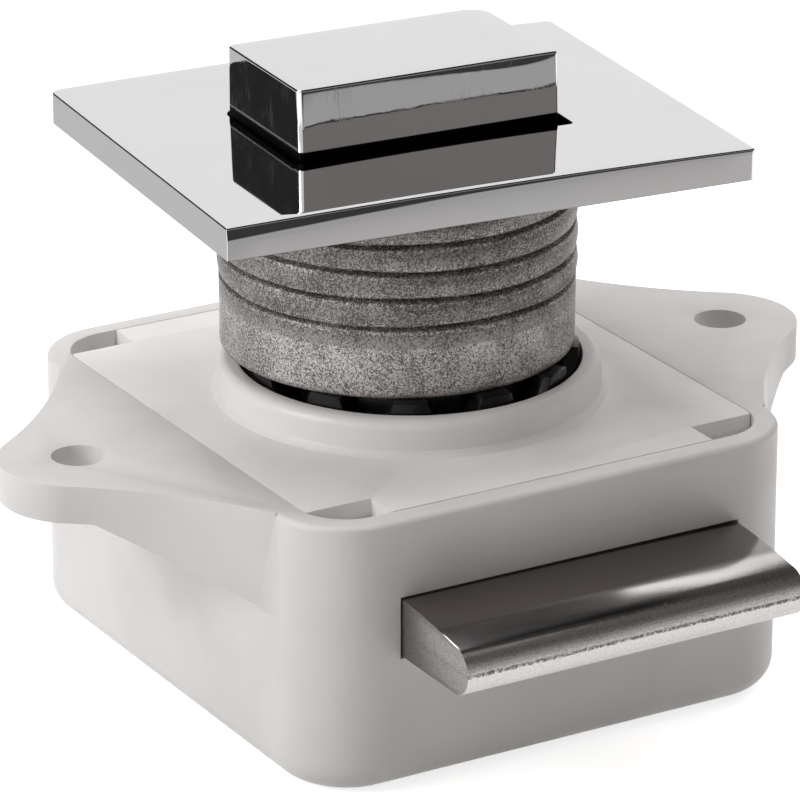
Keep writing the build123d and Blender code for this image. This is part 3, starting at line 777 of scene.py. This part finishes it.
# %% [markdown]
# The sleeve is turned: a profile of radius against height, carried round the axis. Its grooves are
# where the sleeve of a real latch is snapped off or clipped for a thinner door. Each groove has a
# steep upper flank and a rolled lower lip that catches the light, the bands between them swell a
# little, and the lines waver, because the casting does.

# %% Profile of the sleeve
SLEEVE_FOOT_Z = 3.62 * MM
SLEEVE_FOOT_RADIUS = 14.4 * MM
SLEEVE_RADIUS = 14.45 * MM
SLEEVE_BORE = 13.15 * MM
GROOVE_FIRST_Z = 9.25 * MM
GROOVE_DEPTH = 0.50 * MM
GROOVE_LIP = 0.30 * MM
GROOVE_FLANK = 0.26 * MM
BAND_SWELL = 0.12 * MM
SWELL_LEVEL = 0.9
FOOT_ROUNDING = 0.16 * MM
WAVER = 0.05 * MM


def sleeve_radius(height, angle):
    """Outer radius: a slow taper at the foot, a swell of sin squared on each band, and a notch at each
    groove that deepens as a cube from below and closes as a smooth step above. Sines shift the notch."""
    taper = np.clip((height - SLEEVE_FOOT_Z) / (GROOVE_FIRST_Z - SLEEVE_FOOT_Z), 0, 1)
    radius = SLEEVE_FOOT_RADIUS + (SLEEVE_RADIUS - SLEEVE_FOOT_RADIUS) * taper
    foot = np.clip((height - SLEEVE_FOOT_Z) / FOOT_ROUNDING, 0, 1)
    radius = radius - FOOT_ROUNDING * (1 - np.sqrt(1 - (1 - foot) ** 2))
    for count in range(GROOVES):
        middle = GROOVE_FIRST_Z + count * GROOVE_PITCH
        middle = middle + WAVER * (np.sin(3 * angle + 1.7 * count) + 0.5 * np.sin(7 * angle + 2.9 * count))
        below = np.clip(1 + (height - middle) / GROOVE_LIP, 0, 1)
        above = np.clip(1 - (height - middle) / GROOVE_FLANK, 0, 1)
        notch = np.where(height < middle, below ** 3, above ** 2 * (3 - 2 * above))
        radius = radius - GROOVE_DEPTH * notch
        between = (height - middle) / GROOVE_PITCH
        swell = np.where((between > 0) & (between < 1), np.sin(math.pi * np.clip(between, 0, 1)) ** 2, 0)
        radius = radius + BAND_SWELL * (swell - SWELL_LEVEL)
    return radius


def carried_round(radius, height, angles):
    """Points of a turned piece: (r cos a, r sin a) about the knob's axis, at each height."""
    x = radius * np.cos(angles)
    y = AXIS_Y + radius * np.sin(angles)
    return np.stack([x, y, height + 0 * angles], axis=-1)


# %% Rosette sleeve
SLEEVE_TURNS = 288
SLEEVE_TOP_Z = plate_foot_z + 0.05 * MM
GROOVES_FROM_Z = GROOVE_FIRST_Z - 0.7 * MM
FOOT_ROWS = 5
PLAIN_ROWS = 8
GROOVE_ROWS = 126

angles = np.linspace(0, 2 * math.pi, SLEEVE_TURNS, endpoint=False)[None, :]
plain_from_z = SLEEVE_FOOT_Z + FOOT_ROUNDING
heights = np.concatenate([SLEEVE_FOOT_Z + FOOT_ROUNDING * np.linspace(0, 1, FOOT_ROWS)[:-1] ** 2,
                          np.linspace(plain_from_z, GROOVES_FROM_Z, PLAIN_ROWS)[:-1],
                          np.linspace(GROOVES_FROM_Z, SLEEVE_TOP_Z, GROOVE_ROWS)])[:, None]
bore_heights = np.array([[SLEEVE_TOP_Z], [SLEEVE_FOOT_Z]])
radius = np.concatenate([sleeve_radius(heights, angles), np.full((2, SLEEVE_TURNS), SLEEVE_BORE)])
sleeve_points = carried_round(radius, np.concatenate([heights, bore_heights]), angles)
rosette_sleeve = mesh_object("rosette_sleeve", sleeve_points, wrap_rows=True)
outward(rosette_sleeve, 60)
casting.dress(rosette_sleeve)
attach(rosette_sleeve, "case")
print("rosette sleeve:", len(rosette_sleeve.data.polygons), "faces")

# %% [markdown]
# ## The knob
# A chromed block with a crisp top and a hollow skirt. Three of its corners are tight and the one at
# the rear right is soft. Its front leans back towards the top, and the top of that front is buffed
# like the plate's. The same kind of outlines make it, one above the other: first down inside the
# skirt, then up the outside and in over the top.

# %% Outlines of the knob
KNOB_TURN = math.radians(-3.8)
KNOB_HALF_X = 11.0 * MM
KNOB_HALF_Y = 6.37 * MM
KNOB_TOP_Z = 27.07 * MM
KNOB_SKIRT_Z = 15.6 * MM
KNOB_WALL = 1.6 * MM
KNOB_FRONT_LEFT_RADIUS = 0.45 * MM
KNOB_FRONT_RIGHT_RADIUS = 0.25 * MM
KNOB_REAR_LEFT_RADIUS = 0.6 * MM
KNOB_REAR_RIGHT_RADIUS = 1.8 * MM
KNOB_CORNERS = (KNOB_REAR_RIGHT_RADIUS, KNOB_REAR_LEFT_RADIUS,
                KNOB_FRONT_LEFT_RADIUS, KNOB_FRONT_RIGHT_RADIUS)
KNOB_SHARPEST = 0.1 * MM
KNOB_LEAN = math.radians(9)
KNOB_FRONT_LEAN = math.tan(math.radians(3.1))
KNOB_OFFSET = np.array([-0.38, 0.16]) * MM
lean_foot = KNOB_TOP_Z - PLATE_RIM_Z + 0.6 * MM


def knob_outline(inset, forward=0.0):
    """The knob's plan, shifted in the rosette's directions and turned by its own angle. Its front side can
    stand forward: the rectangle gets deeper by that much and its middle moves forward by half of it."""
    radii = [max(corner - inset, KNOB_SHARPEST) for corner in KNOB_CORNERS]
    at_x, at_y = turned(KNOB_OFFSET, ROSETTE_TURN)
    half_y = KNOB_HALF_Y + forward / 2 - inset
    return outline(KNOB_HALF_X - inset, half_y, radii, KNOB_TURN, (at_x, at_y - forward / 2))


def knob_buffing(x):
    """Reach of the buffed band along the top of the front: broader to the right, and gone at the end."""
    rise = np.clip((x + 5 * MM) / (11 * MM), 0, 1)
    fade = np.clip((10.4 * MM - x) / (2.5 * MM), 0, 1)
    return (0.14 + 0.42 * rise ** 1.5 * fade) * MM


def shrunk(flat, share):
    """An outline drawn in towards its own middle."""
    middle = flat.mean(axis=0)
    return middle + (flat - middle) * share


def knob_side(step, lower):
    """One outline of the block at a depth under its top, with its leaning front and buffed upper edge."""
    flat = knob_outline(step, min(lower, lean_foot) * KNOB_FRONT_LEAN)
    return buffed(flat, lower, KNOB_TURN, -KNOB_HALF_Y, knob_buffing, KNOB_LEAN), KNOB_TOP_Z - lower


# %% Knob block
KNOB_ROUNDING = 0.16 * MM
SKIRT_CHAMFER = 0.1 * MM
NEARLY_CLOSED = 0.02
SIDE_DEPTHS = np.concatenate([[lean_foot, 4.0 * MM, 2.5 * MM], np.linspace(1.2, 0.2, 11) * MM])
ceiling_z = KNOB_TOP_Z - KNOB_WALL

rings = [(shrunk(knob_outline(KNOB_WALL), NEARLY_CLOSED), ceiling_z),
         (knob_outline(KNOB_WALL), ceiling_z),
         (knob_outline(KNOB_WALL), KNOB_SKIRT_Z),
         (knob_outline(SKIRT_CHAMFER), KNOB_SKIRT_Z),
         (knob_outline(0), KNOB_SKIRT_Z + SKIRT_CHAMFER)]
for lower in SIDE_DEPTHS:
    rings.append(knob_side(0.0, lower))
inset, drop = quarter_round(KNOB_ROUNDING)
for step, lower in zip(inset[::-1], drop[::-1]):
    rings.append(knob_side(step, lower))
top_outline = rings[-1][0]
for share in (0.85, 0.5, NEARLY_CLOSED):
    rings.append((shrunk(top_outline, share), KNOB_TOP_Z))
knob_block = mesh_object("knob_block", rings_to_points(rings), close_ends=True)
outward(knob_block, 50)
knob_chrome.dress(knob_block)
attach(knob_block, "knob")
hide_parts("knob")
print("knob block:", len(knob_block.data.polygons), "faces")

# %% [markdown]
# The stem under the block is turned from steel. It has four square notches, one groove pitch apart,
# and the wire clip sits in one of them. So its profile is a straight line with a loop of notches, and
# it is carried round the axis like the sleeve.

# %% Knob stem
STEM_TURNS = 64
STEM_RADIUS = 3.0 * MM
STEM_FOOT_Z = 1.4 * MM
STEM_CHAMFER = 0.3 * MM
STEM_NECK = 0.65 * MM
STEM_MIDDLE = 0.02 * MM
CLIP_Z = 8.0 * MM
CLIP_RADIUS = 0.4 * MM
CLIP_PLAY = 0.05 * MM
NOTCHES = (-2, -1, 0, 1)

stem_profile = [(STEM_MIDDLE, STEM_FOOT_Z), (STEM_RADIUS - STEM_CHAMFER, STEM_FOOT_Z),
                (STEM_RADIUS, STEM_FOOT_Z + STEM_CHAMFER)]
half = CLIP_RADIUS + CLIP_PLAY
for count in NOTCHES:
    middle = CLIP_Z + count * GROOVE_PITCH
    stem_profile += [(STEM_RADIUS, middle - half), (STEM_RADIUS - STEM_NECK, middle - half),
                     (STEM_RADIUS - STEM_NECK, middle + half), (STEM_RADIUS, middle + half)]
stem_profile += [(STEM_RADIUS, ceiling_z), (STEM_MIDDLE, ceiling_z)]
profile = np.array(stem_profile)
round_angles = np.linspace(0, 2 * math.pi, STEM_TURNS, endpoint=False)[None, :]
stem_points = carried_round(profile[:, :1], profile[:, 1:], round_angles)
knob_stem = mesh_object("knob_stem", stem_points, close_ends=True)
outward(knob_stem, 30)
drawn_wire("turned_stem", STEEL, 0.3).dress(knob_stem)
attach(knob_stem, "knob")
print("knob stem:", len(knob_stem.data.polygons), "faces")

# %% [markdown]
# ## Springs wound anew
# A CAD spring is a stiff coil, which would come out through the wall when the bolt goes in. Here each
# is wound anew from round wire, with closed end turns, and it stays with the case.

# %% Wound springs
WIRE_SIDES = 10
TURN_POINTS = 24
RETURN_WIRE_RADIUS = 0.38 * MM
RETURN_TURNS = 7
BOLT_WIRE_RADIUS = 0.28 * MM
BOLT_TURNS = 9
spring_wire = drawn_wire("spring_wire", STEEL)


def wound_spring(node_name, axis, wire, turns, fixed_high):
    """A helix in the CAD spring's box: in each end turn it climbs one thickness of wire, and evenly
    between. Round each of its points stands a circle of the wire's radius: outward cos b + axis sin b."""
    low, high = (np.array(corner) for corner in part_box(node_name))
    along = "XYZ".index(axis)
    side, up = (along + 1) % 3, (along + 2) % 3
    length = high[along] - low[along]
    turn = np.linspace(0, turns, turns * TURN_POINTS + 1)
    climb = 2 * wire * (np.clip(turn, 0, 1) + np.clip(turn - turns + 1, 0, 1))
    climb = climb + (length - 6 * wire) * np.clip((turn - 1) / (turns - 2), 0, 1)
    outward_way = np.zeros((len(turn), 3))
    outward_way[:, side] = np.cos(2 * math.pi * turn)
    outward_way[:, up] = np.sin(2 * math.pi * turn)
    axis_way = np.eye(3)[along]
    centre = (low + high) / 2
    centre[along] = low[along] + wire
    radius = (high[side] - low[side]) / 2 - wire
    path = centre + radius * outward_way + climb[:, None] * axis_way
    section = np.linspace(0, 2 * math.pi, WIRE_SIDES, endpoint=False)[None, :, None]
    points = path[:, None] + wire * (np.cos(section) * outward_way[:, None] + np.sin(section) * axis_way)
    made = mesh_object("wound_" + node_name, points, close_ends=True)
    outward(made, 50)
    spring_wire.dress(made)
    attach(made, "case")
    centre[along] = high[along] if fixed_high else low[along]
    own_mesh(made)
    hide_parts(node_name)
    return made


wound = wound_spring("return_spring", "Z", RETURN_WIRE_RADIUS, RETURN_TURNS,
                     fixed_high=False)
print(wound.name + ":", len(wound.data.polygons), "faces")
for side_name in ("left", "right"):
    wound = wound_spring("bolt_spring_" + side_name, "Y", BOLT_WIRE_RADIUS, BOLT_TURNS,
                         fixed_high=True)
    print(wound.name + ":", len(wound.data.polygons), "faces")

# %% [markdown]
# ## Floor and world
# The latch stands on white paper in a white room, and casts a soft shadow on it. White that the eye or
# a mirror sees must not be more light on the latch, or the form washes out. So both the paper and the
# world ask which kind of ray looks at them. Rays from the camera, or by way of a reflection, see
# white, and the rest get a dimmer, slightly warm fill.

# %% Floor and world
FLOOR_Z = cad_box[0][2]
FLOOR_REACH = 3
FLOOR_COLOR = (0.68, 0.68, 0.68)
FLOOR_PALE = (0.69, 0.69, 0.69)
FLOOR_LIFT = 0.74
WORLD_FILL = 0.26
WARM_FILL = (1.0, 0.93, 0.88, 1)
PLAIN_WHITE = (1, 1, 1, 1)


def seen_directly(tree):
    """1 for the rays of the camera, of reflections and of clear pieces, and 0 for light on the latch."""
    rays = tree.nodes.new("ShaderNodeLightPath")
    seen = rays.outputs["Is Camera Ray"]
    for kind in ("Is Glossy Ray", "Is Transmission Ray"):
        either = tree.nodes.new("ShaderNodeMath")
        either.operation = "MAXIMUM"
        tree.links.new(seen, either.inputs[0])
        tree.links.new(rays.outputs[kind], either.inputs[1])
        seen = either.outputs["Value"]
    return seen


def flat_sheet(name, x_range, y_range, height):
    """A level rectangle: the four points (x, y) of its two ranges at one height."""
    points = np.array([[[x, y, height] for x in x_range] for y in y_range], float)
    made = mesh_object(name, points, wrap_columns=False)
    return made


floor_finish = Finish("floor_paper", FLOOR_COLOR, roughness=0.7)
paper = floor_finish.ramp(floor_finish.noise(30 * MM, 3), 0.3, 0.7)
floor_finish.color(floor_finish.mix(paper, FLOOR_COLOR, FLOOR_PALE))
floor_finish.shader.inputs["Specular IOR Level"].default_value = 0.1
floor_finish.shader.inputs["Emission Color"].default_value = PLAIN_WHITE
lift = floor_finish.math("MULTIPLY", seen_directly(floor_finish.tree), FLOOR_LIFT)
floor_finish.feed(floor_finish.shader.inputs["Emission Strength"], lift)
floor_finish.dress(flat_sheet("floor", (-FLOOR_REACH, FLOOR_REACH), (-FLOOR_REACH, FLOOR_REACH), FLOOR_Z))

world = bpy.data.worlds.new("studio")
bpy.context.scene.world = world
world.use_nodes = True
world_tree = world.node_tree
background = world_tree.nodes["Background"]
world_seen = seen_directly(world_tree)
level = world_tree.nodes.new("ShaderNodeMapRange")
level.inputs["To Min"].default_value = WORLD_FILL
level.inputs["To Max"].default_value = 1.0
world_tree.links.new(world_seen, level.inputs["Value"])
world_tree.links.new(level.outputs["Result"], background.inputs["Strength"])
tint = world_tree.nodes.new("ShaderNodeMix")
tint.data_type = "RGBA"
tint.inputs[6].default_value = WARM_FILL
tint.inputs[7].default_value = PLAIN_WHITE
world_tree.links.new(world_seen, tint.inputs[0])
world_tree.links.new(tint.outputs[2], background.inputs["Color"])
print("floor at", round(FLOOR_Z / MM, 2), "mm")

# %% [markdown]
# ## Lamps
# Three soft lamps model the form: one on the left, a broad one from high behind, which draws the rims,
# and one on the right. The right one is hidden from reflections, so the chrome doesn't show it.

# %% Lamps
def lamp(name, azimuth, elevation, distance, width, height, watts):
    """A rectangular soft lamp at two angles in degrees and a distance, that faces the latch."""
    data = bpy.data.lights.new(name, "AREA")
    data.shape = "RECTANGLE"
    data.size = width
    data.size_y = height
    data.energy = watts
    made = bpy.data.objects.new(name, data)
    out = direction(azimuth, elevation)
    made.location = out * distance
    made.rotation_mode = "QUATERNION"
    made.rotation_quaternion = out.to_track_quat("Z", "Y")
    made.visible_camera = False
    bpy.context.scene.collection.objects.link(made)
    return made


lamp("left_softbox", azimuth=-98, elevation=30, distance=0.60, width=0.30, height=0.30, watts=1.9)
lamp("overhead_softbox", azimuth=-170, elevation=66, distance=0.75, width=0.60, height=0.50, watts=2.4)
right_lamp = lamp("right_softbox", azimuth=90, elevation=44, distance=0.65, width=0.36, height=0.30,
                  watts=1.25)
right_lamp.visible_glossy = False
print("lamps:", len(bpy.data.lights))

# %% [markdown]
# ## Cards for the mirrors
# A mirror shows the studio, so the studio is laid out with cards. They are painted reflections: each
# upright card glows with its own light, though it is no lamp, and only reflections see it. An upright
# card stands on two points of the floor plan and has its own pattern of light and dark from bottom to
# top. The front card paints the knob's front its grey, its dark line and the reflection below it. The
# rear left and right cards paint the narrow sides darker, the bolt highlight card paints a highlight
# streak on the bolt, and a black ceiling on the right, seen in reflections alone too, paints shade on
# what looks up there.

# %% Upright cards
CARD_GRID = 3
CARD_FOOT_Z = FLOOR_Z + 1 * MM
GLOW_FOOT_Z = -20.7 * MM


def card(name, start, stop, low, high, glow, strength=1.0):
    """An upright flat card between two points of the floor plan; its glow, a list of (height, brightness,
    warmth), fades from one height to the next."""
    across = np.linspace(0, 1, CARD_GRID)[None, :, None]
    foot = np.array([[start]]) * (1 - across) + np.array([[stop]]) * across
    level = np.linspace(low, high, CARD_GRID)[:, None, None]
    points = np.concatenate([foot + 0 * level, level + 0 * foot[:, :, :1]], axis=2)
    made = mesh_object(name, points, wrap_columns=False)
    made.visible_camera = False
    made.visible_diffuse = False
    made.visible_shadow = False
    finish = Finish(name, (0, 0, 0), roughness=1)
    finish.shader.inputs["Specular IOR Level"].default_value = 0
    ramp = finish.add("ShaderNodeValToRGB")
    finish.feed(ramp.inputs["Fac"], finish.ramp(finish.axis("Z"), low, high, rise="LINEAR"))
    ramp.color_ramp.elements.remove(ramp.color_ramp.elements[0])
    for place, brightness, warmth in glow:
        stop_here = ramp.color_ramp.elements.new((place - low) / (high - low))
        stop_here.color = (brightness, brightness * (1 - warmth), brightness * (1 - 1.4 * warmth), 1)
    ramp.color_ramp.elements.remove(ramp.color_ramp.elements[-1])
    finish.feed(finish.shader.inputs["Emission Color"], ramp.outputs["Color"])
    finish.shader.inputs["Emission Strength"].default_value = strength
    finish.dress(made)


# Each glow paints a reflection, and the bolt glow paints a highlight streak: the cards are no lamps.
FRONT_GLOW = [(GLOW_FOOT_Z, 0.60, 0.02), (-14.5 * MM, 0.57, 0.02), (-12.2 * MM, 0.45, 0.02),
              (2.5 * MM, 0.44, 0.02), (6.0 * MM, 0.05, 0.04), (36.0 * MM, 0.05, 0.04),
              (40.0 * MM, 0.26, 0.06), (98.0 * MM, 0.26, 0.06), (115.0 * MM, 0.04, 0.02),
              (339.0 * MM, 0.04, 0.02)]
REAR_LEFT_GLOW = [(GLOW_FOOT_Z, 0.66, 0.01), (18.0 * MM, 0.66, 0.01), (30.0 * MM, 0.03, 0.0),
                  (199.0 * MM, 0.03, 0.0)]
RIGHT_GLOW = [(GLOW_FOOT_Z, 0.40, 0.02), (0.0, 0.08, 0.04), (299.0 * MM, 0.08, 0.04)]
BOLT_GLOW = [(255.1 * MM, 1.0, 0.0), (380.0 * MM, 1.0, 0.0), (419.0 * MM, 0.2, 0.0)]

card("front_card", start=(-0.05, -0.092), stop=(0.25, -0.140), low=CARD_FOOT_Z, high=0.34, glow=FRONT_GLOW)
card("rear_left_card", start=(0.004, 0.128), stop=(-0.116, 0.054), low=CARD_FOOT_Z, high=0.20,
     glow=REAR_LEFT_GLOW)
card("right_card", start=(0.25, -0.140), stop=(0.20, 0.10), low=CARD_FOOT_Z, high=0.30, glow=RIGHT_GLOW)
card("bolt_highlight_card", start=(0.12, 0.33), stop=(0.34, 0.19), low=0.255, high=0.42, glow=BOLT_GLOW,
     strength=1.35)
print("upright cards: front, rear left, right and bolt light")

# %% Ceiling card
CEILING_Z = 0.34
CEILING_X = (0.03, 0.40)
CEILING_Y = (-0.15, 0.20)
CEILING_BLACK = (0.01, 0.01, 0.01)

# A black sheet that only reflections see: painted shade in what the surfaces that look up mirror.
ceiling_card = flat_sheet("ceiling_card", CEILING_X, CEILING_Y, CEILING_Z)
Finish("ceiling_card", CEILING_BLACK, roughness=1).dress(ceiling_card)
for light_path in ("camera", "diffuse", "shadow", "transmission", "volume_scatter"):
    setattr(ceiling_card, "visible_" + light_path, False)
print("ceiling card at", round(CEILING_Z / MM), "mm")
